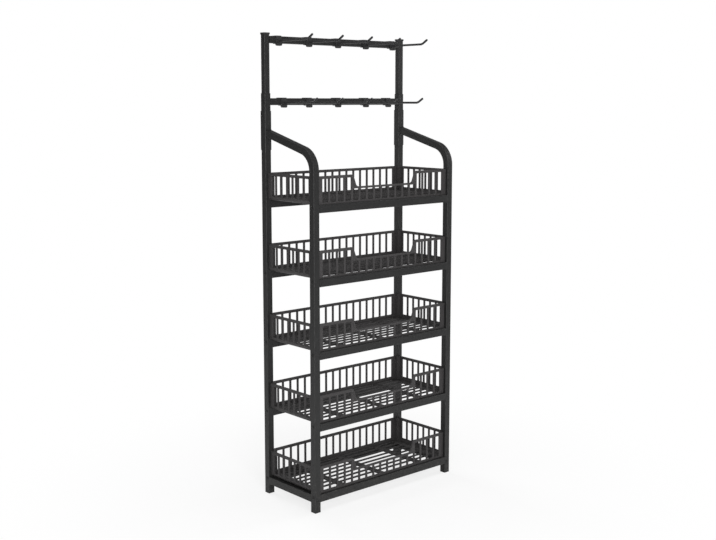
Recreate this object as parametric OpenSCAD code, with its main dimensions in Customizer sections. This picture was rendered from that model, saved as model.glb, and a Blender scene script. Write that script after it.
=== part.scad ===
/* [Frame] */
// Width over the outer faces of the posts
frame_w = 686; // [600:2:900]
// Depth over the outer faces of the posts
frame_d = 299; // [260:1:420]
// Height over the top caps
frame_h = 1705; // [1660:1:1900]
// Side of the square tube of the four posts
post = 25; // [22:1:30]
// Wall of every steel tube
tube_wall = 1.3; // [1:0.1:2]
// Gap on each side where one tube slides in another
slip = 0.2; // [0.1:0.05:0.4]
// From the arm's axis up to the upper end of the rear posts
post_over = 143; // [130:1:200]
// Length of extension tube held inside each rear post
ext_overlap = 60; // [50:1:62]

/* [Arms] */
// From the rim of the top basket up to the arm's axis at its sleeve
arm_over = 143; // [128:1:180]
// Slope of the arm above the horizontal, in degrees
arm_rise = 15; // [5:1:30]
// Radius of the bend, measured to the axis of the tube
bend_r = 75; // [50:1:110]
// Length of the sleeve round the rear post
sleeve_h = 140; // [100:1:141]
// How far the sleeve reaches below the arm's axis
sleeve_drop = 60; // [40:1:70]

/* [Tiers] */
// Height from one tier to the next
tier_pitch = 260; // [220:1:265]
// Underside of the lowest rails
rail_z = 37; // [20:1:60]
// Height of the rail tube
rail_h = 28; // [24:1:34]

/* [Basket] */
// Height of a basket, from its underside to the top of its rim
basket_h = 99; // [90:1:130]
// From the outer face of a post in to the rim, on the short sides
rim_set_x = 9.5; // [6:0.5:14]
// From the outer face of a post in to the rim, at front and rear
rim_set_y = 9.5; // [6:0.5:12]
// Thickness of the moulded wall
wall = 4; // [3:0.5:5]
// How far the wall stands inside the outer edge of the rim
wall_set = 1; // [1:0.5:2]
// Height of the rim
rim_h = 10; // [6:0.5:14]
// Width of the rim, seen from above
rim_w = 6; // [6:0.5:10]
// Solid band below the openings of the rear wall and the short walls
band_h = 15; // [15:1:24]
// Solid band below the openings of the front wall
front_band = 7; // [6:0.5:20]
// Radius of the cove between a short wall and the floor
cove_r = 14; // [8:1:14]
// Gap between the basket and the post that it wraps
notch_gap = 0.5; // [0.3:0.1:1]
// Solid corner on the long walls, from the outer edge of the rim
corner_x = 38; // [30:1:60]
// Solid corner on the short walls, from the outer edge of the rim
corner_y = 32.5; // [26:0.5:50]
// Width of an upright bar between two openings
bar = 8; // [5:0.5:12]
// Openings in a long wall
gaps_x = 17; // [13:2:21]
// Openings in a short wall
gaps_y = 7; // [5:2:9]
// Corner radius of the openings
slot_r = 2.5; // [1:0.5:4]

/* [Front scoop] */
// Width of the scoop at the rim
dip_top = 307; // [240:1:340]
// Width of the scoop at the lip
dip_bottom = 275; // [200:1:290]
// Depth of the lip below the rim
dip_depth = 43.5; // [30:0.5:55]
// Height of the lip
lip_h = 7; // [5:0.5:12]
// Radius between the lip and a shoulder
dip_r = 14; // [8:1:20]
// Radius of the upper corner of a shoulder
shoulder_r = 9; // [4:1:14]

/* [Basket floor] */
// Thickness of the floor
floor_t = 4; // [3:0.5:6]
// Width of a lengthwise rib of the floor
floor_rib = 4; // [3:0.5:10]
// Height of those ribs, from the underside of the basket
rib_h = 6; // [5:0.5:9]
// Width of the three broad cross ribs
cross_rib = 26; // [18:1:34]
// Distance of the outer cross ribs from the middle one
cross_rib_x = 194; // [150:1:230]
// From the outer edge of the rim in to the ends of the outer slots
floor_end = 43.5; // [40:0.5:60]

/* [Hook bars] */
// Side of the square tube of a hook bar
hook_bar = 25; // [20:1:28]
// Centre of the upper bar, below the top of the caps
upper_bar_drop = 24; // [20:1:60]
// Centre of the lower bar, below the upper end of the rear posts
lower_bar_drop = 30; // [18:1:40]
// Outer hooks of the upper bar, in from its ends
upper_inset = 39.5; // [38:0.5:70]
// Outer hooks of the lower bar, in from its ends
lower_inset = 59; // [56:1:78]
// From an outer hook of the lower bar to the inner hook beside it
lower_step = 118; // [115:1:120]

/* [Hooks] */
// Width of a hook's clip along the bar
clip_w = 24; // [20:1:34]
// Thickness of the clip
clip_t = 1.8; // [1.5:0.1:4]
// Running gap between clip and bar
clip_gap = 0.3; // [0.3:0.05:0.6]
// Height of the foot below the clip
lug_h = 7; // [6:0.5:12]
// Width of that foot along the bar
lug_w = 25; // [16:1:32]
// How far the foot stands in front of the clip
lug_out = 4.4; // [0.4:0.2:6]
// Diameter of the prong
prong_d = 8; // [5:0.5:10]
// Straight reach of the prong in front of the bar
prong_reach = 162; // [100:1:220]
// Prong axis, below the centre of the bar
prong_drop = 4; // [0:0.5:6]
// Angle of the upturned tip
tip_angle = 30; // [20:1:60]
// Length of the first half of the upturn
bend_len = 10; // [6:1:20]
// Length of the straight part of the tip
tip_len = 24; // [10:1:40]

/* [Plugs and screws] */
// Thickness of the foot plate under a post
foot_t = 3; // [2:0.5:8]
// Thickness of the cap on a post
cap_t = 7; // [3:0.5:12]
// Length of a plug inside its tube
plug_len = 18; // [12:1:25]
// Diameter of the frame screws
screw_d = 6; // [4:0.5:6]
// Diameter of the basket screws
small_screw_d = 4; // [3:0.5:5]
// Thickness of the tapped plate in the end of a rail
end_plate = 3; // [2:0.5:6]
// Reach of a frame screw past that plate
screw_past = 5; // [3:0.5:7]
// Rail screws, above the middle of the rail
screw_rise = 5; // [4:0.5:6]
// Screws of the side rails, below the middle of the rail
side_screw_drop = 6; // [5:0.5:7]
// Length of a sleeve's screw
sleeve_screw_len = 9; // [7:0.5:12]
// Sleeve screws, below the upper end of the sleeve
sleeve_screw_drop = 20; // [16:1:30]
// Reach of a basket screw past the floor of the basket
basket_screw_past = 6; // [4:0.5:8]
// Basket screws, out from the ends of the floor slots
basket_screw_out = 12; // [8:1:14]

/* [Hidden] */
$fn = 48;

steel_black = [0.13, 0.13, 0.135];
plastic_black = [0.17, 0.165, 0.165];
cap_black = [0.1, 0.1, 0.1];
screw_black = [0.2, 0.2, 0.2];
TIERS = [0, 1, 2, 3, 4];
LEFT = -1;
RIGHT = 1;
FRONT = -1;
REAR = 1;
// Overshoot of every cut past the face that it opens
cut = 1;

// Post axes and the tubes that fit in and over a post
post_x = (frame_w - post) / 2;
post_y = (frame_d - post) / 2;
ext = post - 2 * tube_wall - 2 * slip;
sleeve = post + 2 * slip + 2 * tube_wall;
rail_len = frame_w - 2 * post;
side_rail_len = frame_d - 2 * post;
upper_bar_len = 2 * post_x - ext;

// Heights, from the top basket up
basket_z = rail_z + rail_h;
arm_z = basket_z + 4 * tier_pitch + basket_h + arm_over;
rear_post_h = arm_z + post_over;
upper_bar_z = frame_h - upper_bar_drop;
lower_bar_z = rear_post_h - lower_bar_drop;
sleeve_z = arm_z - sleeve_drop;
sleeve_face_y = post_y - sleeve / 2;

// The bent front post: vertical, bend, then the straight arm up to the sleeve
bend_angle = 90 - arm_rise;
bend_y = bend_r - post_y;
arm_y = bend_y - bend_r * cos(bend_angle);
arm_run = sleeve_face_y - arm_y;
arm_start_z = arm_z - arm_run * tan(arm_rise);
bend_z = arm_start_z - bend_r * sin(bend_angle);
arm_len = arm_run / cos(arm_rise) + post;
// The arm laps over the end of the bend by this much, a hair deeper than the bend, as one tube
joint_lap = 0.5;
arm_step = 0.02;

// Screws: the side rails' screws cross below the other rails' screws inside a post
screw_hole = screw_d + 0.4;
through_len = post + end_plate + screw_past;
// The stub of a cap stops short of the screw of the upper bar
cap_stub = min(plug_len, upper_bar_drop - cap_t - screw_hole / 2 - 1);
sleeve_screw_z = sleeve_z + sleeve_h - sleeve_screw_drop;

// Basket plan: outer edge of the rim, wall and the notches round the posts
rim_x = frame_w / 2 - rim_set_x;
rim_y = frame_d / 2 - rim_set_y;
notch_x = frame_w / 2 - post - notch_gap;
notch_y = frame_d / 2 - post - notch_gap;
pitch_x = (2 * (rim_x - corner_x) + bar) / gaps_x;
pitch_y = (2 * (rim_y - corner_y) + bar) / gaps_y;
gap_x = pitch_x - bar;
gap_y = pitch_y - bar;
gap_top = basket_h - rim_h;
lip_z = basket_h - dip_depth;
short_top = lip_z - lip_h;
dip_slant = atan((dip_top - dip_bottom) / 2 / dip_depth);
floor_rows = gaps_y + 1;
floor_gap = pitch_y - floor_rib;
basket_screw_x = rim_x - floor_end + basket_screw_out;
basket_screw_y = rim_y - wall_set - wall - 1.25 * small_screw_d;

// Hooks
upper_outer = upper_bar_len / 2 - upper_inset;
lower_outer = rail_len / 2 - lower_inset;
lower_inner = lower_outer - lower_step;
clip_out = hook_bar / 2 + clip_gap + clip_t;
clip_in = hook_bar / 2 + clip_gap;
lug_d = 9;
lug_r = 6;
prong_boss_d = prong_d + 6;

// Square tube standing on the origin, closed at neither end
module square_tube(side, length) {
    linear_extrude(length) difference() {
        square(side, center = true);
        square(side - 2 * tube_wall, center = true);
    }
}

// Bore along X, centred on the origin
module bore_x(d, length) {
    rotate([0, 90, 0]) cylinder(d = d, h = length, center = true);
}

// Bore along Y, centred on the origin
module bore_y(d, length) {
    rotate([90, 0, 0]) cylinder(d = d, h = length, center = true);
}

function rail_screw_z(tier) = rail_z + tier * tier_pitch + rail_h / 2 + screw_rise;
function side_screw_z() = rail_z + rail_h / 2 - side_screw_drop;

// Holes that both kinds of post share: one for each rail end, one for the side rail
module rail_holes() {
    for (tier = TIERS) translate([0, 0, rail_screw_z(tier)]) bore_x(screw_hole, post + 2 * cut);
    translate([0, 0, side_screw_z()]) bore_y(screw_hole, post + 2 * cut);
}

module rear_post(side) {
    color(steel_black) translate([side * post_x, post_y, 0]) difference() {
        translate([0, 0, foot_t]) square_tube(post, rear_post_h - foot_t);
        rail_holes();
        translate([0, 0, lower_bar_z]) bore_x(screw_hole, post + 2 * cut);
        translate([side * post / 2, 0, sleeve_screw_z]) bore_x(screw_hole, post / 2);
    }
}

// Slimmer tube that slides down into a rear post, where the lower bar's screw locks it
module rear_extension(side) {
    color(steel_black) translate([side * post_x, post_y, 0]) difference() {
        translate([0, 0, rear_post_h - ext_overlap])
            square_tube(ext, frame_h - cap_t - rear_post_h + ext_overlap);
        translate([0, 0, lower_bar_z]) bore_x(screw_hole, post + 2 * cut);
        translate([0, 0, upper_bar_z]) bore_x(screw_hole, post + 2 * cut);
    }
}

// Solid of square section along the axis of the bent front post
module bent_bar(side, bottom) {
    translate([-side / 2, -post_y - side / 2, bottom]) cube([side, side, bend_z - bottom]);
    translate([0, bend_y, bend_z]) rotate([90, 0, -90]) {
        rotate_extrude(angle = bend_angle) translate([bend_r, 0]) square(side, center = true);
        rotate([0, 0, bend_angle]) translate([bend_r - side / 2 - arm_step, -joint_lap, -side / 2])
            cube([side + 2 * arm_step, arm_len + joint_lap, side]);
    }
}

module front_post(side) {
    color(steel_black) translate([side * post_x, 0, 0]) difference() {
        bent_bar(post, foot_t);
        bent_bar(post - 2 * tube_wall, foot_t - cut);
        translate([-post, sleeve_face_y, arm_z - 2 * post]) cube([2 * post, 3 * post, 4 * post]);
        translate([0, -post_y, 0]) rail_holes();
    }
}

module arm_sleeve(side) {
    color(steel_black) translate([side * post_x, post_y, 0]) difference() {
        translate([0, 0, sleeve_z]) square_tube(sleeve, sleeve_h);
        translate([side * sleeve / 2, 0, sleeve_screw_z]) bore_x(screw_hole, post / 2);
    }
}

// Rectangular tube along X with a tapped plate closing each end
module bar_tube(length, depth, height, screw_at) {
    difference() {
        cube([length, depth, height], center = true);
        cube([length - 2 * end_plate, depth - 2 * tube_wall, height - 2 * tube_wall], center = true);
        for (side = [LEFT, RIGHT]) translate([side * length / 2, 0, screw_at])
            bore_x(screw_hole, 4 * end_plate);
    }
}

// Cross rail that carries a basket, drilled for its two basket screws
module cross_rail(face, tier) {
    color(steel_black) difference() {
        translate([0, face * post_y, rail_z + tier * tier_pitch + rail_h / 2])
            bar_tube(rail_len, post, rail_h, screw_rise);
        for (side = [LEFT, RIGHT])
            translate([side * basket_screw_x, face * basket_screw_y, basket_z + tier * tier_pitch])
                cylinder(d = small_screw_d + 0.2, h = 4 * tube_wall, center = true);
    }
}

module side_rail(side) {
    color(steel_black) translate([side * post_x, 0, rail_z + rail_h / 2])
        rotate([0, 0, 90]) bar_tube(side_rail_len, post, rail_h, -side_screw_drop);
}

// Hook bars end on the faces of the tubes between which they are screwed
module hook_bar_tube(length, height) {
    color(steel_black) translate([0, post_y, height]) bar_tube(length, hook_bar, hook_bar, 0);
}

// Basket plan, drawn inwards from the outer edge of the rim, with a notch for each post
module plan(inset) {
    difference() {
        square([2 * (rim_x - inset), 2 * (rim_y - inset)], center = true);
        for (side = [LEFT, RIGHT], face = [FRONT, REAR])
            translate([side * (notch_x + rim_x) / 2, face * (notch_y + rim_y) / 2])
                square([rim_x - notch_x + 2 * max(0, inset - wall_set),
                        rim_y - notch_y + 2 * max(0, inset - wall_set)], center = true);
    }
}

// Upright block of the plan whose short sides curve into the underside
module coved_block(inset, radius, bottom) {
    half = rim_x - inset;
    intersection() {
        translate([0, 0, bottom]) linear_extrude(basket_h) plan(inset);
        rotate([90, 0, 0]) linear_extrude(2 * rim_y, center = true) union() {
            translate([-half, bottom + radius]) square([2 * half, basket_h]);
            translate([-half + radius, bottom]) square([2 * (half - radius), basket_h]);
            for (side = [LEFT, RIGHT]) translate([side * (half - radius), bottom + radius]) circle(radius);
        }
    }
}

// Opening with rounded corners, from its lower left corner
module opening(w, h) {
    translate([slot_r, 0]) square([w - 2 * slot_r, h]);
    translate([0, slot_r]) square([w, h - 2 * slot_r]);
    for (x = [slot_r, w - slot_r], y = [slot_r, h - slot_r]) translate([x, y]) circle(slot_r, $fn = 16);
}

// True for an opening that clears the scoop's shoulder and so reaches up to the rim
function is_tall(k) = abs(k) * pitch_x - gap_x / 2 > dip_top / 2 + bar;

module long_openings(bottom, has_scoop) {
    half = (gaps_x - 1) / 2;
    for (k = [-half : half])
        translate([k * pitch_x - gap_x / 2, bottom])
            opening(gap_x, (has_scoop && !is_tall(k) ? short_top : gap_top) - bottom);
}

module short_openings() {
    half = (gaps_y - 1) / 2;
    for (k = [-half : half]) translate([k * pitch_y - gap_y / 2, band_h]) opening(gap_y, gap_top - band_h);
}

// Slots of the floor: rows between lengthwise ribs, parted by three broad cross ribs
module floor_slots() {
    outer_x = rim_x - floor_end;
    inner_a = cross_rib / 2;
    inner_b = cross_rib_x - cross_rib / 2;
    outer_a = cross_rib_x + cross_rib / 2;
    for (row = [0 : floor_rows - 1], side = [LEFT, RIGHT])
        translate([0, (row - (floor_rows - 1) / 2) * pitch_y - floor_gap / 2]) {
            translate([side > 0 ? inner_a : -inner_b, 0]) opening(inner_b - inner_a, floor_gap);
            translate([side > 0 ? outer_a : -outer_x, 0]) opening(outer_x - outer_a, floor_gap);
        }
}

// Lengthwise ribs, which stand above the floor between the rows of slots
module floor_ribs() {
    half = (floor_rows - 2) / 2;
    for (k = [-half : half])
        translate([-rim_x + floor_end, k * pitch_y - floor_rib / 2, 0])
            cube([2 * (rim_x - floor_end), floor_rib, rib_h]);
}

// Edge of the right half of the scoop, moved outwards by grow, from the lip up
function dip_side(grow) =
    let (r = dip_r + grow,
         low = lip_z - grow,
         at = function(z) dip_bottom / 2 + (z - lip_z) * tan(dip_slant) + grow / cos(dip_slant),
         cx = at(low + r) - r / cos(dip_slant),
         sr = max(0.5, shoulder_r - grow),
         sx = at(basket_h - sr) + sr / cos(dip_slant))
    concat(
        [for (i = [0 : 8]) let (a = -90 + i * (90 - dip_slant) / 8) [cx + r * cos(a), low + r + r * sin(a)]],
        [for (i = [0 : 6]) let (a = 180 - dip_slant - i * (90 - dip_slant) / 6)
            [sx + sr * cos(a), basket_h - sr + sr * sin(a)]],
        [[sx, basket_h + dip_depth]]);

function mirrored(points) = [for (i = [len(points) - 1 : -1 : 0]) [-points[i][0], points[i][1]]];

// Outline of the scoop in the front wall
module dip(grow) {
    polygon(concat(dip_side(grow), mirrored(dip_side(grow))));
}

// Stands an outline drawn in X and height upright and gives it a depth from y to y + depth
module stand_up(y, depth) {
    translate([0, y + depth, 0]) rotate([90, 0, 0]) linear_extrude(depth) children();
}

module basket(tier) {
    color(plastic_black) translate([0, 0, basket_z + tier * tier_pitch]) difference() {
        union() {
            difference() {
                coved_block(wall_set, cove_r, 0);
                coved_block(wall_set + wall, max(cove_r - wall, 1), floor_t);
                translate([0, 0, basket_h]) linear_extrude(basket_h) plan(0);
                translate([0, 0, -cut]) linear_extrude(floor_t + 2 * cut) floor_slots();
                stand_up(rim_y - rim_w - cut, rim_w + 2 * cut) long_openings(band_h, false);
                stand_up(-rim_y - cut, rim_w + 2 * cut) long_openings(front_band, true);
                for (side = [LEFT, RIGHT])
                    translate([side * (rim_x - rim_w / 2), 0, 0]) rotate([90, 0, 90])
                        linear_extrude(rim_w + 2 * cut, center = true) short_openings();
                for (side = [LEFT, RIGHT], face = [FRONT, REAR])
                    translate([side * basket_screw_x, face * basket_screw_y, -cut])
                        cylinder(d = small_screw_d + 0.4, h = floor_t + 2 * cut);
            }
            floor_ribs();
            translate([0, 0, gap_top]) linear_extrude(rim_h) difference() {
                plan(0);
                plan(rim_w);
            }
            intersection() {
                stand_up(-rim_y, rim_w) dip(lip_h);
                translate([-rim_x, -rim_y, 0]) cube([2 * rim_x, rim_w, basket_h]);
            }
        }
        stand_up(-rim_y - cut, rim_w + 2 * cut) dip(0);
    }
}

// Stretch of a prong towards -Y, rounded where it meets the stretch before it
module prong_part(length) {
    sphere(d = prong_d);
    rotate([90, 0, 0]) cylinder(d = prong_d, h = length);
}

// Outline of the foot of a hook, with both lower corners rounded
module lug_outline() {
    low = -clip_out - lug_h;
    difference() {
        union() {
            translate([-lug_w / 2, low + lug_r]) square([lug_w, lug_r]);
            translate([-lug_w / 2 + lug_r, low]) square([lug_w - 2 * lug_r, 2 * lug_r]);
            for (side = [LEFT, RIGHT]) translate([side * (lug_w / 2 - lug_r), low + lug_r]) circle(lug_r);
        }
        translate([-lug_w, -clip_in]) square([2 * lug_w, 2 * lug_r]);
    }
}

// Clip-on hook: a saddle open at the rear, a foot below it and a round prong to the front
module hook(x, bar_z) {
    color(plastic_black) translate([x, post_y, bar_z]) {
        rotate([90, 0, 90]) linear_extrude(clip_w, center = true) difference() {
            square(2 * clip_out, center = true);
            square(2 * clip_in, center = true);
            translate([clip_in / 3, -clip_out - cut]) square([clip_out, clip_out + cut]);
        }
        stand_up(-clip_out - lug_out, lug_d) lug_outline();
        translate([0, -clip_in - clip_t / 2, -prong_drop]) rotate([90, 0, 0]) {
            cylinder(d = prong_boss_d, h = clip_t / 2 + 3);
            cylinder(d = prong_d, h = prong_reach - clip_gap - clip_t / 2);
        }
        translate([0, -hook_bar / 2 - prong_reach, -prong_drop]) rotate([-tip_angle / 2, 0, 0]) {
            prong_part(bend_len);
            translate([0, -bend_len, 0]) rotate([-tip_angle / 2, 0, 0]) {
                prong_part(tip_len);
                translate([0, -tip_len, 0]) sphere(d = prong_d);
            }
        }
    }
}

// Moulded plug: a plate as wide as its post and a stub inside the tube, pointing up
module plug(plate_t, tube_side, stub_len) {
    stub = tube_side - 2 * tube_wall - 2 * slip;
    translate([-post / 2, -post / 2, 0]) cube([post, post, plate_t]);
    translate([-stub / 2, -stub / 2, plate_t]) difference() {
        cube([stub, stub, stub_len]);
        translate([2, 2, 2]) cube([stub - 4, stub - 4, stub_len]);
    }
}

module post_cap(side) {
    color(cap_black) translate([side * post_x, post_y, frame_h])
        mirror([0, 0, 1]) plug(cap_t, ext, cap_stub);
}

module foot(side, face) {
    color(cap_black) translate([side * post_x, face * post_y, 0]) plug(foot_t, post, plug_len);
}

// Low-head screw along -Z with its head resting on the origin and a hexagon socket
module screw(d, length) {
    difference() {
        union() {
            cylinder(d = 1.8 * d, h = 0.2 * d);
            translate([0, 0, 0.2 * d]) cylinder(d1 = 1.8 * d, d2 = 1.5 * d, h = 0.1 * d);
            translate([0, 0, -length]) cylinder(d = d, h = length);
        }
        translate([0, 0, -0.1 * d]) cylinder(d = 0.65 * d, h = d, $fn = 6);
    }
}

// Turns a screw so that it enters from the outer face of a post, along X or along Y
module from_side(side) { rotate([0, side * 90, 0]) children(); }
module from_face(face) { rotate([-face * 90, 0, 0]) children(); }

module rail_screws() {
    color(screw_black) for (tier = TIERS, side = [LEFT, RIGHT], face = [FRONT, REAR])
        translate([side * frame_w / 2, face * post_y, rail_screw_z(tier)])
            from_side(side) screw(screw_d, through_len);
}

module side_rail_screws() {
    color(screw_black) for (side = [LEFT, RIGHT], face = [FRONT, REAR])
        translate([side * post_x, face * frame_d / 2, side_screw_z()])
            from_face(face) screw(screw_d, through_len);
}

module hook_bar_screws() {
    color(screw_black) for (side = [LEFT, RIGHT]) {
        translate([side * frame_w / 2, post_y, lower_bar_z]) from_side(side) screw(screw_d, through_len);
        translate([side * (post_x + ext / 2), post_y, upper_bar_z])
            from_side(side) screw(screw_d, through_len);
    }
}

module sleeve_screws() {
    color(screw_black) for (side = [LEFT, RIGHT])
        translate([side * (post_x + sleeve / 2), post_y, sleeve_screw_z])
            from_side(side) screw(screw_d, sleeve_screw_len);
}

module basket_screws() {
    color(screw_black) for (tier = TIERS, side = [LEFT, RIGHT], face = [FRONT, REAR])
        translate([side * basket_screw_x, face * basket_screw_y, basket_z + tier * tier_pitch + floor_t])
            screw(small_screw_d, floor_t + basket_screw_past);
}

rear_post(LEFT);  // rear_post_left
rear_post(RIGHT);  // rear_post_right
rear_extension(LEFT);  // rear_extension_left
rear_extension(RIGHT);  // rear_extension_right
front_post(LEFT);  // front_post_left
front_post(RIGHT);  // front_post_right
arm_sleeve(LEFT);  // arm_sleeve_left
arm_sleeve(RIGHT);  // arm_sleeve_right
cross_rail(FRONT, 0);  // front_rail_1
cross_rail(FRONT, 1);  // front_rail_2
cross_rail(FRONT, 2);  // front_rail_3
cross_rail(FRONT, 3);  // front_rail_4
cross_rail(FRONT, 4);  // front_rail_5
cross_rail(REAR, 0);  // rear_rail_1
cross_rail(REAR, 1);  // rear_rail_2
cross_rail(REAR, 2);  // rear_rail_3
cross_rail(REAR, 3);  // rear_rail_4
cross_rail(REAR, 4);  // rear_rail_5
side_rail(LEFT);  // side_rail_left
side_rail(RIGHT);  // side_rail_right
hook_bar_tube(upper_bar_len, upper_bar_z);  // hook_bar_upper
hook_bar_tube(rail_len, lower_bar_z);  // hook_bar_lower
basket(0);  // basket_1
basket(1);  // basket_2
basket(2);  // basket_3
basket(3);  // basket_4
basket(4);  // basket_5
hook(-upper_outer, upper_bar_z);  // hook_upper_1
hook(-upper_outer / 2, upper_bar_z);  // hook_upper_2
hook(0, upper_bar_z);  // hook_upper_3
hook(upper_outer / 2, upper_bar_z);  // hook_upper_4
hook(upper_outer, upper_bar_z);  // hook_upper_5
hook(-lower_outer, lower_bar_z);  // hook_lower_1
hook(-lower_inner, lower_bar_z);  // hook_lower_2
hook(0, lower_bar_z);  // hook_lower_3
hook(lower_inner, lower_bar_z);  // hook_lower_4
hook(lower_outer, lower_bar_z);  // hook_lower_5
post_cap(LEFT);  // post_cap_left
post_cap(RIGHT);  // post_cap_right
foot(LEFT, FRONT);  // foot_front_left
foot(RIGHT, FRONT);  // foot_front_right
foot(LEFT, REAR);  // foot_rear_left
foot(RIGHT, REAR);  // foot_rear_right
rail_screws();
side_rail_screws();
hook_bar_screws();
sleeve_screws();
basket_screws();
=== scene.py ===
import math

import bmesh
import bpy
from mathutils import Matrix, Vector


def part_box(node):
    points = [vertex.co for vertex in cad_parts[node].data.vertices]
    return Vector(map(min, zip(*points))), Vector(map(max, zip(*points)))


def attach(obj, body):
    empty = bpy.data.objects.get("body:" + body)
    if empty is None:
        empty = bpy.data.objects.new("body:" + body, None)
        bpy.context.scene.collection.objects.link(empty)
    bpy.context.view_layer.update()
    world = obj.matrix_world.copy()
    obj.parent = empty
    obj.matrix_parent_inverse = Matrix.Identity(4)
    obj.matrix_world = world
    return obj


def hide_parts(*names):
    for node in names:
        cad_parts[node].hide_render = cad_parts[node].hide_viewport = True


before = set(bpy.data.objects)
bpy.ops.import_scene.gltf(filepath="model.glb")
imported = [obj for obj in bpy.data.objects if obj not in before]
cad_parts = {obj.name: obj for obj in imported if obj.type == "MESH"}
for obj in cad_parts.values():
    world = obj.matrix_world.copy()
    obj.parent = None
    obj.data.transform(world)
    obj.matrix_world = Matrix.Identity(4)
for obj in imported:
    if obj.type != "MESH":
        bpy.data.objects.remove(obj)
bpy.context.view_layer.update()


# The camera stands at the photograph's place, front left of the rack and level with its lower hook
# bar. Its place, turn and lens come from a fit of the rack's straight edges.
photo_width = 716
focal_pixels = 1097.5
camera_data = bpy.data.cameras.new("camera")
camera_data.sensor_width = 36
camera_data.lens = focal_pixels * camera_data.sensor_width / photo_width
camera_data.shift_y = -0.035
camera_data.clip_start = 0.1
camera = bpy.data.objects.new("camera", camera_data)
bpy.context.scene.collection.objects.link(camera)
camera_turn = math.radians(41.43)
camera_dip = math.radians(7.469)
camera_sight = Vector((math.sin(camera_turn) * math.cos(camera_dip),
                       math.cos(camera_turn) * math.cos(camera_dip), -math.sin(camera_dip)))
camera.location = (-2.7182, -3.0707, 1.4622)
camera.rotation_euler = camera_sight.to_track_quat("-Z", "Y").to_euler()
bpy.context.scene.camera = camera
bpy.context.scene.view_settings.view_transform = "Standard"


class Wire:
    """One output of a node, with the arithmetic that the finishes and the trees use."""

    def __init__(self, bench, socket):
        self.bench, self.socket = bench, socket

    def math(self, operation, *others):
        return self.bench.make("ShaderNodeMath", {"operation": operation},
                               dict(enumerate((self, *others))))

    def __add__(self, other):
        return self.math("ADD", other)

    def __mul__(self, other):
        return self.math("MULTIPLY", other)

    def __sub__(self, other):
        return self.math("SUBTRACT", other)

    def __rsub__(self, other):
        return (self * -1) + other

    __radd__ = __add__
    __rmul__ = __mul__

    def ramp(self, low, high):
        """0 below low, 1 above high and a smooth rise between them."""
        return self.bench.make("ShaderNodeMapRange", {"interpolation_type": "SMOOTHSTEP"},
                               {"Value": self, "From Min": low, "From Max": high})

    def other(self, name):
        """Another output of the same node."""
        return Wire(self.bench, self.socket.node.outputs[name])


class Bench:
    """A node tree being put together."""

    def __init__(self, tree):
        self.tree = tree

    def make(self, kind, settings=None, values=None, out=0):
        """Makes a node, sets it up, sets or links its sockets, and returns one of its outputs."""
        node = self.tree.nodes.new(kind)
        for name, value in (settings or {}).items():
            setattr(node, name, value)
        for name, value in (values or {}).items():
            if isinstance(value, Wire):
                self.tree.links.new(value.socket, node.inputs[name])
            else:
                node.inputs[name].default_value = value
        return Wire(self, node.outputs[out] if node.outputs else None)

    def colours(self, factor, low, high):
        """A colour that goes from low to high as factor goes from 0 to 1."""
        return self.make("ShaderNodeMix", {"data_type": "RGBA"},
                         {0: factor, 6: low, 7: high}, out=2)

    def noise(self, place, scale, detail, roughness=0.5):
        """Grey clouds: scale is how many there are in a metre."""
        return self.make("ShaderNodeTexNoise", None, {
            "Vector": place, "Scale": scale, "Detail": detail, "Roughness": roughness})

    def stretched(self, place, scale):
        """Place scaled by a different number along X, Y and Z."""
        return self.make("ShaderNodeVectorMath", {"operation": "MULTIPLY"}, {0: place, 1: scale})


def bare_material(name):
    """A node material with no nodes in it yet, and the bench to build it on."""
    material = bpy.data.materials.new(name)
    material.use_nodes = True
    material.node_tree.nodes.clear()
    return material, Bench(material.node_tree)


# The studio floor is a pale sheet. Near the rack it takes soft shadow, and to the camera it fades
# into the white of the room well before its edge, so that no horizon shows.
floor_reach = 60
fade_start, fade_end = 0.4, 1.5
glow_at_rack = 0.76
floor_mesh = bpy.data.meshes.new("studio_floor")
floor_mesh.from_pydata([(x * floor_reach, y * floor_reach, 0)
                        for x, y in ((-1, -1), (1, -1), (1, 1), (-1, 1))], [], [(0, 1, 2, 3)])
floor = bpy.data.objects.new("studio_floor", floor_mesh)
bpy.context.scene.collection.objects.link(floor)
floor_material, bench = bare_material("pale_floor")
floor_place = bench.make("ShaderNodeTexCoord", out="Object")
floor_far = bench.make("ShaderNodeVectorMath", {"operation": "LENGTH"},
                       {0: floor_place}, out="Value")
floor_seen = bench.make("ShaderNodeLightPath", out="Is Camera Ray")
floor_matt = bench.make("ShaderNodeBsdfPrincipled", None, {
    "Base Color": (0.92, 0.92, 0.92, 1), "Roughness": 0.9})
floor_white = bench.make("ShaderNodeEmission", None, {"Color": (1, 1, 1, 1), "Strength": 1.0})
floor_fade = floor_far.ramp(fade_start, fade_end) * (1 - glow_at_rack) + glow_at_rack
floor_mixed = bench.make("ShaderNodeMixShader", None, {
    0: floor_fade * floor_seen, 1: floor_matt, 2: floor_white})
bench.make("ShaderNodeOutputMaterial", None, {"Surface": floor_mixed})
floor_mesh.materials.append(floor_material)

# The room is a white studio. The camera sees it as plain white, and to everything else it is a weak
# and even fill light.
fill_strength = 0.27
room = bpy.data.worlds.new("white_room")
room.use_nodes = True
room.node_tree.nodes.clear()
bench = Bench(room.node_tree)
room_seen = bench.make("ShaderNodeLightPath", out="Is Camera Ray")
room_fill = bench.make("ShaderNodeBackground", None, {
    "Color": (1, 1, 1, 1), "Strength": fill_strength})
room_white = bench.make("ShaderNodeBackground", None, {"Color": (1, 1, 1, 1), "Strength": 1.0})
room_mixed = bench.make("ShaderNodeMixShader", None, {0: room_seen, 1: room_fill, 2: room_white})
bench.make("ShaderNodeOutputWorld", None, {"Surface": room_mixed})
bpy.context.scene.world = room


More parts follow.
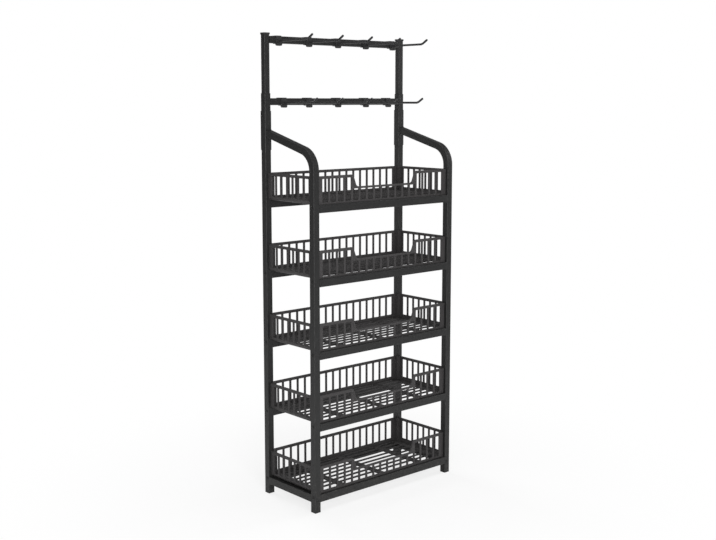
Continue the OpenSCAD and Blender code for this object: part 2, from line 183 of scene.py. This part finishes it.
def softbox(name, place, aim, width, height, watts):
    """A studio lamp behind a large white cloth, turned towards the aim."""
    lamp_data = bpy.data.lights.new(name, "AREA")
    lamp_data.shape, lamp_data.size, lamp_data.size_y = "RECTANGLE", width, height
    lamp_data.energy = watts
    lamp = bpy.data.objects.new(name, lamp_data)
    lamp.location = place
    lamp.rotation_euler = (Vector(aim) - Vector(place)).to_track_quat("-Z", "Y").to_euler()
    bpy.context.scene.collection.objects.link(lamp)


# The main lamp stands beside the camera, so that it reaches as far into the baskets as the eye. A
# weak one overhead models the bends, and two more keep the right side and the back readable.
softbox("camera_side_softbox", place=(-2.3, -3.35, 1.45), aim=(0, 0, 0.85),
        width=1.8, height=2.2, watts=170)
softbox("top_softbox", place=(-0.3, -0.6, 3.8), aim=(0, 0, 1.0), width=2.0, height=1.6, watts=30)
softbox("right_softbox", place=(3.7, -0.6, 1.8), aim=(0, 0, 0.9), width=1.4, height=2.2, watts=50)
softbox("back_softbox", place=(0.2, 4.0, 1.7), aim=(0, 0, 0.9), width=1.4, height=2.2, watts=90)


# The rear legs are square steel tube, cold-formed with small rounded corners and coated in a black
# powder that bakes to a fine orange peel. Handling polishes the corners, and dust settles near the
# floor. All the other steel of the rack has the same finish.
SIDES = ("left", "right")
X, Y, Z = range(3)
leg_corner = 0.0013
bare_black = (0.0085, 0.0085, 0.0085)
rubbed_black = (0.06, 0.059, 0.058, 1)
floor_dust = (0.13, 0.12, 0.11, 1)
dust_top = 0.22


def shade(grey, share):
    """A colour made darker or lighter by a share of itself."""
    return [c * share for c in grey] + [1]


def powder_coat(name, grey):
    """Black powder over steel: orange peel, bright specks, rubbed corners and dust low down."""
    material, bench = bare_material(name)
    place = bench.make("ShaderNodeTexCoord", out="Object")
    cloud = bench.noise(place, scale=14.0, detail=4.0)
    peel = bench.noise(place, scale=620.0, detail=2.0)
    speck = bench.noise(place, scale=1500.0, detail=1.0).ramp(0.62, 0.78)
    corner = bench.make("ShaderNodeAttribute", {"attribute_name": "corner"}, out="Fac")
    rubbed = corner * bench.noise(place, scale=46.0, detail=5.0, roughness=0.7).ramp(0.52, 0.72)
    height = bench.make("ShaderNodeSeparateXYZ", None, {0: place}, out="Z")
    dusty = bench.noise(place, scale=90.0, detail=4.0).ramp(0.45, 0.8)
    dust = (1 - height.ramp(0.0, dust_top)) * dusty
    coat = bench.colours(cloud, shade(grey, 0.86), shade(grey, 1.14))
    coat = bench.colours(speck * 0.35, coat, shade(grey, 1.9))
    coat = bench.colours(rubbed * 0.5, coat, rubbed_black)
    coat = bench.colours(dust * 0.16, coat, floor_dust)
    gloss = cloud * 0.12 + 0.36 + peel * 0.06 - rubbed * 0.1 + dust * 0.2
    dents = bench.make("ShaderNodeBump", None, {
        "Strength": 0.12, "Distance": 0.0003, "Height": peel})
    steel = bench.make("ShaderNodeBsdfPrincipled", None, {
        "Base Color": coat, "Roughness": gloss, "Normal": dents, "Specular IOR Level": 0.42})
    bench.make("ShaderNodeOutputMaterial", None, {"Surface": steel})
    return material


frame_coat = powder_coat("black_powder_coat", bare_black)


def new_tree(name, inputs, output):
    """A geometry tree with named inputs and one output, its bench, and its first input's wire."""
    tree = bpy.data.node_groups.new(name, "GeometryNodeTree")
    for label, kind in inputs.items():
        tree.interface.new_socket(label, in_out="INPUT", socket_type=f"NodeSocket{kind}")
    tree.interface.new_socket(output, in_out="OUTPUT", socket_type="NodeSocketGeometry")
    bench = Bench(tree)
    return tree, bench, bench.make("NodeGroupInput")


def end_tree(bench, shape, coat):
    """Makes the shape real, coats it and hands it out."""
    shape = bench.make("GeometryNodeRealizeInstances", None, {0: shape})
    shape = bench.make("GeometryNodeSetMaterial", None, {"Geometry": shape, "Material": coat})
    bench.make("NodeGroupOutput", None, {0: shape})


# Tree that sweeps a rounded rectangle along a path, as a tube mill does. It marks the points of the
# four roundings as corners, for the coat, and parts the shading only at real edges.
corner_share = 0.98
real_edge = 0.7
tube_tree, bench, given = new_tree("square_tube", {
    "Path": "Geometry", "Width": "Float", "Height": "Float", "Corner": "Float", "Side": "Vector",
    "Coat": "Material"}, "Tube")
line = bench.make("GeometryNodeMeshToCurve", None, {0: given})
line = bench.make("GeometryNodeSetCurveNormal", {"mode": "FREE"}, {
    "Curve": line, "Normal": given.other("Side")})
section = bench.make("GeometryNodeCurvePrimitiveQuadrilateral", None, {
    "Width": given.other("Width"), "Height": given.other("Height")})
section = bench.make("GeometryNodeFilletCurve", {"mode": "POLY"}, {
    "Curve": section, "Count": 4, "Radius": given.other("Corner"), "Limit Radius": True})
spot = bench.make("GeometryNodeInputPosition")
spot = bench.make("ShaderNodeSeparateXYZ", None, {0: spot}, out="X")
rounding = given.other("Corner") * corner_share
past_x = spot.math("ABSOLUTE") - given.other("Width") * 0.5 + rounding
past_y = spot.other("Y").math("ABSOLUTE") - given.other("Height") * 0.5 + rounding
on_corner = past_x.math("MINIMUM", past_y).math("GREATER_THAN", 0.0)
section = bench.make("GeometryNodeStoreNamedAttribute", {"data_type": "FLOAT", "domain": "POINT"}, {
    "Geometry": section, "Name": "corner", "Value": on_corner})
swept = bench.make("GeometryNodeCurveToMesh", None, {
    "Curve": line, "Profile Curve": section, "Fill Caps": True})
sharp = bench.make("GeometryNodeInputMeshEdgeAngle").math("GREATER_THAN", real_edge)
swept = bench.make("GeometryNodeSetShadeSmooth", {"domain": "EDGE"}, {
    "Geometry": swept, "Selection": sharp, "Shade Smooth": False})
end_tree(bench, swept, given.other("Coat"))


def add_piece(name, mesh):
    """A new object with this mesh, in the scene."""
    piece = bpy.data.objects.new(name, mesh)
    bpy.context.scene.collection.objects.link(piece)
    return piece


def feed(piece, tree, values):
    """Puts a tree on a piece and sets its named inputs."""
    modifier = piece.modifiers.new(tree.name, "NODES")
    modifier.node_group = tree
    for item in tree.interface.items_tree:
        if item.in_out == "INPUT" and item.name in values:
            modifier[item.identifier] = values[item.name]


def settle(piece):
    """Turns a piece and its modifiers into one plain mesh."""
    graph = bpy.context.evaluated_depsgraph_get()
    plain = bpy.data.meshes.new_from_object(piece.evaluated_get(graph),
                                            preserve_all_data_layers=True, depsgraph=graph)
    piece.modifiers.clear()
    piece.data = plain
    plain.name = piece.name
    return piece


def tube(name, path, width, height, corner, side):
    """A closed rounded tube along a path of points. Width lies along side."""
    line = bpy.data.meshes.new(name)
    line.from_pydata([tuple(p) for p in path], [(i, i + 1) for i in range(len(path) - 1)], [])
    piece = add_piece(name, line)
    feed(piece, tube_tree, {
        "Width": width, "Height": height, "Corner": corner, "Side": side, "Coat": frame_coat})
    piece.modifiers.new("even_shading", "WEIGHTED_NORMAL").keep_sharp = True
    return settle(piece)


def straight_tube(name, node, axis, corner, start=None):
    """A tube along X, Y or Z that fills its CAD node's box, from start on where that is given."""
    low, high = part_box(node)
    first = (low + high) / 2
    last = first.copy()
    first[axis] = low[axis] if start is None else start
    last[axis] = high[axis]
    wide, tall = [way for way in (X, Y, Z) if way != axis]
    side = tuple(int(way == wide) for way in (X, Y, Z))
    return tube(name, [first, last], high[wide] - low[wide], high[tall] - low[tall], corner, side)


def stands_for(piece, node, body="rack"):
    """The piece takes the place of its CAD node."""
    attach(piece, body)
    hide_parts(node)


for side in SIDES:
    post = straight_tube(f"rear_leg_{side}", f"rear_post_{side}", Z, leg_corner)
    stands_for(post, f"rear_post_{side}")

# The rear extensions are slimmer square steel tube in the same coat. They slide into the rear legs
# and carry the upper bar. Most of what hides inside the leg is left off.
riser_corner = 0.0012
hidden_end = 0.02
for side in SIDES:
    leg_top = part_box(f"rear_post_{side}")[1].z
    riser = straight_tube(f"rear_riser_{side}", f"rear_extension_{side}", Z, riser_corner,
                          start=leg_top - hidden_end)
    stands_for(riser, f"rear_extension_{side}")

# Each front leg is one square steel tube, bent over a former near its top into a straight arm that
# climbs to the rear leg. The saw cuts the arm's end upright, so that it lies flat on the sleeve.
bend_radius = 0.075
bend_turn = math.radians(75)
bend_steps = 20
on_the_cut = 1e-4


def arm_end(side):
    """Where the arm's axis meets the sleeve, and half the width and half the height of the cut."""
    low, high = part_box(f"front_post_{side}")
    half = (high.x - low.x) / 2
    tall = half / math.sin(bend_turn)
    return Vector((low.x + half, high.y, high.z - tall)), half, tall


for side in SIDES:
    end, half, tall = arm_end(side)
    leg_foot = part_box(f"front_post_{side}")[0]
    leg_y = leg_foot.y + half
    climb = Vector((0, math.sin(bend_turn), math.cos(bend_turn)))
    bend_y = leg_y + bend_radius
    arm_y = bend_y - bend_radius * math.cos(bend_turn)
    arm_z = end.z - (end.y - arm_y) * climb.z / climb.y
    bend_z = arm_z - bend_radius * math.sin(bend_turn)
    path = [(end.x, leg_y, leg_foot.z)]
    for step in range(bend_steps + 1):
        turn = bend_turn * step / bend_steps
        path.append((end.x, bend_y - bend_radius * math.cos(turn),
                     bend_z + bend_radius * math.sin(turn)))
    path.append(end)
    leg = tube(f"front_leg_{side}", path, 2 * half, 2 * half, leg_corner, (1, 0, 0))
    for point in leg.data.vertices:
        if abs((point.co - end).dot(climb)) < on_the_cut:
            point.co += climb * ((end.y - point.co.y) / climb.y)
    stands_for(leg, f"front_post_{side}")

# A short sleeve of larger tube slips over each rear leg, and a screw in its outer face holds it
# there. The arm is welded to its front face by a small rippled bead that runs round the joint.
sleeve_corner = 0.0016
bead_thick = 0.0028
bead_stand_off = 0.0002
bead_step = 0.0004
ripple_length = 0.0021
ripple_swell = 0.16
weld_tree, bench, given = new_tree("weld_bead", {
    "Path": "Geometry", "Thickness": "Float", "Ripple": "Float", "Coat": "Material"}, "Bead")
seam = bench.make("GeometryNodeMeshToCurve", None, {0: given})
seam = bench.make("GeometryNodeResampleCurve", {"mode": "LENGTH"}, {
    "Curve": seam, "Length": bead_step})
along = bench.make("GeometryNodeSplineParameter", out="Length") * (2 * math.pi)
wave = along.math("DIVIDE", given.other("Ripple")).math("SINE")
seam = bench.make("GeometryNodeSetCurveRadius", None, {
    "Curve": seam, "Radius": wave * ripple_swell + (1 - ripple_swell)})
drop = bench.make("GeometryNodeCurvePrimitiveCircle", {"mode": "RADIUS"}, {
    "Resolution": 10, "Radius": given.other("Thickness") * 0.5})
bead = bench.make("GeometryNodeCurveToMesh", None, {"Curve": seam, "Profile Curve": drop})
end_tree(bench, bead, given.other("Coat"))
for side in SIDES:
    sleeve = straight_tube(f"sleeve_{side}", f"arm_sleeve_{side}", Z, sleeve_corner)
    stands_for(sleeve, f"arm_sleeve_{side}")
    end, half, tall = arm_end(side)
    corners = [(-half, -tall), (half, -tall), (half, tall), (-half, tall)]
    loop = bpy.data.meshes.new(f"arm_weld_{side}")
    loop.from_pydata([end + Vector((x, -bead_stand_off, z)) for x, z in corners],
                     [(i, (i + 1) % 4) for i in range(4)], [])
    weld = add_piece(f"arm_weld_{side}", loop)
    feed(weld, weld_tree, {"Thickness": bead_thick, "Ripple": ripple_length, "Coat": frame_coat})
    weld = settle(weld)
    weld.data.shade_smooth()
    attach(weld, "rack")

# Rectangular steel tubes tie the legs together, one in front and one behind under every basket, and
# the lowest tier has one at each side as well. They butt against the legs and are screwed to them.
TIERS = range(1, 6)
FACES = ("front", "rear")
rail_corner = 0.0013
for tier in TIERS:
    for face in FACES:
        rail = straight_tube(f"{face}_cross_rail_{tier}", f"{face}_rail_{tier}", X, rail_corner)
        stands_for(rail, f"{face}_rail_{tier}")
for side in SIDES:
    rail = straight_tube(f"side_tie_{side}", f"side_rail_{side}", Y, rail_corner)
    stands_for(rail, f"side_rail_{side}")

# The two bars that carry the hooks are square steel tube in the same coat. The upper one sits
# between the risers and the lower one between the rear legs, each held by a screw at both ends.
LEVELS = ("upper", "lower")
for level in LEVELS:
    bar = straight_tube(f"{level}_bar", f"hook_bar_{level}", X, rail_corner)
    stands_for(bar, f"hook_bar_{level}")


# The baskets are injection moulded in black polypropylene with a fine spark texture, each in one
# piece with slotted walls, a scooped front and a ribbed floor that lies on two rails. The floor
# gathers a little dust, and goods scuff the walls.
basket_black = (0.0345, 0.0325, 0.033)
scuffed = (0.16, 0.155, 0.15, 1)
settled_dust = (0.2, 0.19, 0.175, 1)


def moulded_plastic(name, grey, shine, pitting):
    """Black plastic out of a mould: shine is its roughness, pitting the depth of its texture."""
    material, bench = bare_material(name)
    place = bench.make("ShaderNodeTexCoord", out="Object")
    cloud = bench.noise(place, scale=9.0, detail=4.0)
    grain = bench.noise(place, scale=900.0, detail=3.0)
    along_flow = bench.stretched(place, (6.0, 40.0, 40.0))
    flow = bench.noise(along_flow, scale=1.0, detail=4.0)
    facing = bench.make("ShaderNodeNewGeometry", out="Normal")
    upward = bench.make("ShaderNodeSeparateXYZ", None, {0: facing}, out="Z").ramp(0.55, 0.95)
    dust = upward * bench.noise(place, scale=55.0, detail=5.0, roughness=0.65).ramp(0.42, 0.75)
    along_rub = bench.stretched(place, (30.0, 30.0, 220.0))
    scuff = bench.noise(along_rub, scale=1.0, detail=5.0, roughness=0.7).ramp(0.63, 0.74)
    body = bench.colours(cloud * 0.6 + flow * 0.4, shade(grey, 0.85), shade(grey, 1.15))
    body = bench.colours(scuff * 0.16, body, scuffed)
    body = bench.colours(dust * 0.14, body, settled_dust)
    gloss = cloud * 0.1 + (shine - 0.05) + flow * 0.08 + dust * 0.15
    pits = bench.make("ShaderNodeBump", None, {
        "Strength": pitting, "Distance": 0.0003, "Height": grain})
    skin = bench.make("ShaderNodeBsdfPrincipled", None, {
        "Base Color": body, "Roughness": gloss, "Normal": pits, "Specular IOR Level": 0.3})
    bench.make("ShaderNodeOutputMaterial", None, {"Surface": skin})
    return material


basket_skin = moulded_plastic("basket_polypropylene", basket_black, shine=0.5, pitting=0.16)
same_point = 1e-5
flat_enough = math.radians(0.6)
round_from = math.radians(38)
crease_from = math.radians(30)


def moulding(name, node, skin, radius=0.0):
    """The node's own shape with its curves shaded smooth. A radius also rounds its edges off."""
    work = bmesh.new()
    work.from_mesh(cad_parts[node].data)
    bmesh.ops.remove_doubles(work, verts=work.verts, dist=same_point)
    if radius:
        bmesh.ops.dissolve_limit(work, angle_limit=flat_enough, verts=work.verts, edges=work.edges)
    points = [v.co.copy() for v in work.verts]
    work.verts.index_update()
    faces = [[v.index for v in f.verts] for f in work.faces]
    work.free()
    shell = bpy.data.meshes.new(name)
    shell.from_pydata(points, [], faces)
    shell.materials.append(skin)
    shell.shade_smooth()
    piece = add_piece(name, shell)
    if radius:
        bevel = piece.modifiers.new("soft_edges", "BEVEL")
        bevel.width, bevel.segments = radius, 2
        bevel.limit_method, bevel.angle_limit = "ANGLE", round_from
        bevel.use_clamp_overlap = True
        bevel.harden_normals = True
    else:
        shell.set_sharp_from_angle(angle=crease_from)
        piece.modifiers.new("even_shading", "WEIGHTED_NORMAL").keep_sharp = True
    return settle(piece)


for tier in TIERS:
    basket = moulding(f"moulded_basket_{tier}", f"basket_{tier}", basket_skin)
    stands_for(basket, f"basket_{tier}")

# The hooks are moulded in black nylon: a saddle that snaps over the bar from the front, with a foot
# below it and a round prong with an upturned tip. Each one can be pushed along its bar.
hook_black = (0.02, 0.02, 0.0205)
hook_rounding = 0.0005
HOOKS = range(1, 6)
hook_skin = moulded_plastic("hook_nylon", hook_black, shine=0.4, pitting=0.07)
for level in LEVELS:
    for place in HOOKS:
        node = f"hook_{level}_{place}"
        hook = moulding(f"{level}_hook_{place}", node, hook_skin, hook_rounding)
        stands_for(hook, node, f"{node}_body")

# Polyethylene plugs are driven into the open tube ends: thick caps on top of the risers, and thin
# plates under the four legs that keep the steel off the floor.
plug_black = (0.018, 0.018, 0.018)
cap_rounding = 0.0008
foot_rounding = 0.0006
plug_skin = moulded_plastic("plug_polyethylene", plug_black, shine=0.5, pitting=0.14)
for side in SIDES:
    cap = moulding(f"top_cap_{side}", f"post_cap_{side}", plug_skin, cap_rounding)
    stands_for(cap, f"post_cap_{side}")
    for face in FACES:
        plug = moulding(f"foot_plug_{face}_{side}", f"foot_{face}_{side}", plug_skin, foot_rounding)
        stands_for(plug, f"foot_{face}_{side}")

# Black low-head steel screws with a hexagon socket hold the frame together, and smaller ones hold
# the baskets down on their rails. One screw is turned on the lathe here, and the tree below sets a
# copy at every place, each stopped at a turn of its own.
frame_thread, frame_length, sleeve_length = 0.006, 0.033, 0.009
floor_thread, floor_length = 0.004, 0.010
lathe_sides = 24
screw_crease = math.radians(32)
# Each ring of a screw: its radius and height, both in thread widths, and whether it is hexagonal
head_rings = [(0.5, 0, False), (0.87, 0, False), (0.9, 0.03, False), (0.9, 0.17, False),
              (0.885, 0.21, False), (0.77, 0.288, False), (0.72, 0.3, False), (0.37, 0.3, False),
              (0.325, 0.27, True), (0.325, -0.08, True)]
socket_floor = -0.1
screw_tree, bench, given = new_tree("set_screws", {
    "Places": "Geometry", "Screw": "Object", "Seed": "Int", "Coat": "Material"}, "Screws")
one = bench.make("GeometryNodeObjectInfo", None, {"Object": given.other("Screw")}, out="Geometry")
aim = bench.make("GeometryNodeInputNamedAttribute", {"data_type": "FLOAT_VECTOR"}, {"Name": "aim"})
upright = bench.make("FunctionNodeAlignRotationToVector", {"axis": "Z"}, {"Vector": aim})
turn = bench.make("FunctionNodeRandomValue", {"data_type": "FLOAT"}, {
    2: 0.0, 3: math.pi, "Seed": given.other("Seed")}, out=1)
spin = bench.make("FunctionNodeAxisAngleToRotation", None, {"Axis": (0, 0, 1), "Angle": turn})
set_down = bench.make("FunctionNodeRotateRotation", {"rotation_space": "LOCAL"},
                      {0: upright, 1: spin})
screws = bench.make("GeometryNodeInstanceOnPoints", None, {
    "Points": given, "Instance": one, "Rotation": set_down})
end_tree(bench, screws, given.other("Coat"))


def turned_screw(name, thread, length):
    """One screw along -Z, its head resting on the origin."""
    tip = -length / thread
    rings = [(0.42, tip, False), (0.5, tip + 0.08, False), *head_rings]
    points, faces = [(0, 0, -length)], []
    for radius, height, hexagonal in rings:
        for step in range(lathe_sides):
            angle = 2 * math.pi * step / lathe_sides
            reach = radius * thread
            if hexagonal:
                reach *= math.cos(math.pi / 6) / math.cos(angle % (math.pi / 3) - math.pi / 6)
            points.append((reach * math.cos(angle), reach * math.sin(angle), height * thread))
    points.append((0, 0, socket_floor * thread))
    for step in range(lathe_sides):
        after = (step + 1) % lathe_sides
        faces.append((0, 1 + after, 1 + step))
        for ring in range(len(rings) - 1):
            base = 1 + ring * lathe_sides
            faces.append((base + step, base + after, base + lathe_sides + after,
                          base + lathe_sides + step))
        last = 1 + (len(rings) - 1) * lathe_sides
        faces.append((last + step, last + after, len(points) - 1))
    shape = bpy.data.meshes.new(name)
    shape.from_pydata(points, [], faces)
    shape.shade_smooth()
    shape.set_sharp_from_angle(angle=screw_crease)
    return add_piece(name, shape)


def driven_in(name, node, thread, length, places, seed):
    """The screws of one node: places holds the seat and the outward direction of each."""
    one = turned_screw(f"one_of_{name}", thread, length)
    dots = bpy.data.meshes.new(name)
    dots.from_pydata([seat for seat, aim in places], [], [])
    aims = dots.attributes.new("aim", "FLOAT_VECTOR", "POINT")
    for i, (seat, aim) in enumerate(places):
        aims.data[i].vector = aim
    screws = add_piece(name, dots)
    feed(screws, screw_tree, {"Screw": one, "Seed": seed, "Coat": frame_coat})
    settle(screws)
    bpy.data.objects.remove(one)
    stands_for(screws, node)


# The cross rails' screws pass through the legs from both sides of the rack, a little above the
# middle of the rail. The side ties' screws pass through them from front and rear, a little below.
BOTH_WAYS = (-1, 1)
leg_low, leg_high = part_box("rear_post_right")
leg_line = (leg_low + leg_high) / 2
along_x, along_y = Vector((1, 0, 0)), Vector((0, 1, 0))
rail_screw_rise = 0.005
tie_screw_drop = 0.006
places = []
for tier in TIERS:
    for face in FACES:
        low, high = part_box(f"{face}_rail_{tier}")
        middle = (low + high) / 2
        places += [(Vector((way * leg_high.x, middle.y, middle.z + rail_screw_rise)), along_x * way)
                   for way in BOTH_WAYS]
driven_in("cross_rail_screws", "rail_screws", frame_thread, frame_length, places, seed=3)
low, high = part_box("side_rail_left")
tie_screw_height = (low.z + high.z) / 2 - tie_screw_drop
places = [(Vector((across * leg_line.x, way * leg_high.y, tie_screw_height)), along_y * way)
          for across in BOTH_WAYS for way in BOTH_WAYS]
driven_in("side_tie_screws", "side_rail_screws", frame_thread, frame_length, places, seed=5)

# The bars' screws pass through the tubes beside them on the line of the bar. One short screw near
# the top of each sleeve's outer face clamps it to the leg.
sleeve_screw_drop = 0.02
places = []
for level, tube_node in (("lower", "rear_post_right"), ("upper", "rear_extension_right")):
    low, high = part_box(f"hook_bar_{level}")
    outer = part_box(tube_node)[1].x
    places += [(Vector((way * outer, leg_line.y, (low.z + high.z) / 2)), along_x * way)
               for way in BOTH_WAYS]
driven_in("bar_screws", "hook_bar_screws", frame_thread, frame_length, places, seed=8)
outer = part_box("arm_sleeve_right")[1]
places = [(Vector((way * outer.x, leg_line.y, outer.z - sleeve_screw_drop)), along_x * way)
          for way in BOTH_WAYS]
driven_in("sleeve_side_screws", "sleeve_screws", frame_thread, sleeve_length, places, seed=13)

# Four small screws go down through the corners of each basket's floor into the rails below it,
# their heads resting on the floor.
floor_screw_in_x, floor_screw_in_y = 0.0315, 0.010
floor_thickness = 0.004
upwards = Vector((0, 0, 1))
places = []
for tier in TIERS:
    low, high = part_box(f"basket_{tier}")
    seat_x, seat_y = high.x - floor_screw_in_x, high.y - floor_screw_in_y
    places += [(Vector((across * seat_x, way * seat_y, low.z + floor_thickness)), upwards)
               for across in BOTH_WAYS for way in BOTH_WAYS]
driven_in("basket_floor_screws", "basket_screws", floor_thread, floor_length, places, seed=21)
